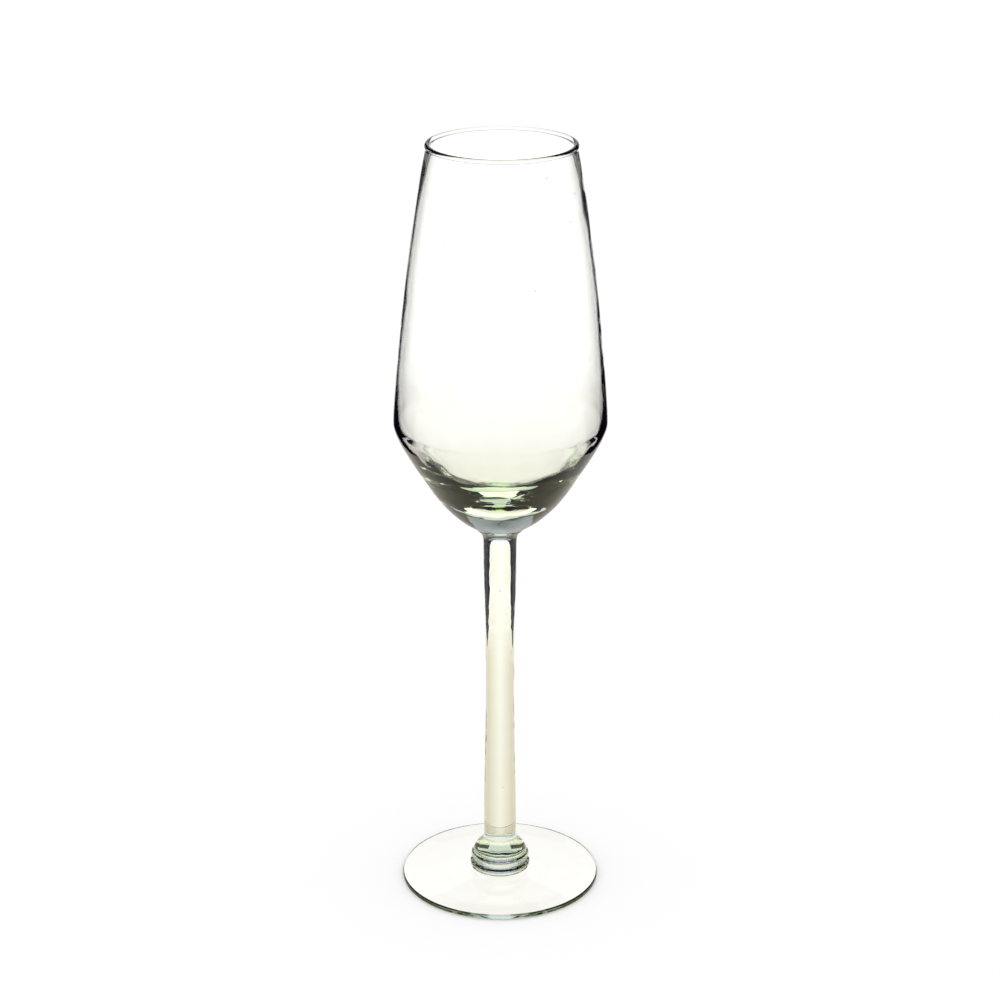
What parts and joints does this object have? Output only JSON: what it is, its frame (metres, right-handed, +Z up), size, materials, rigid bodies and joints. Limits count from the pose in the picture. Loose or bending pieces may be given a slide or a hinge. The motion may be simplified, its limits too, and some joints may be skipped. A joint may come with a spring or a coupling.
{
  "type": "champagne glass",
  "caption": "Tall champagne glass with a tapered blown bowl on a solid base, a slim drawn stem, a knop and a round foot.",
  "frame": {"origin": "centre of the foot on the plane that the glass stands on", "axes": "+Z up along the axis of the glass; X and Y are alike, because every piece is round"},
  "size_m": [0.0624, 0.0624, 0.23],
  "materials": {
    "pale_green_glass": "clear, fire polished, faint green tint in thick places"
  },
  "bodies": {
    "root": {"foot": "pale_green_glass", "foot_ring": "pale_green_glass", "stem_knop": "pale_green_glass", "stem": "pale_green_glass", "bowl_collar": "pale_green_glass", "bowl": "pale_green_glass"}
  },
  "joints": []
}
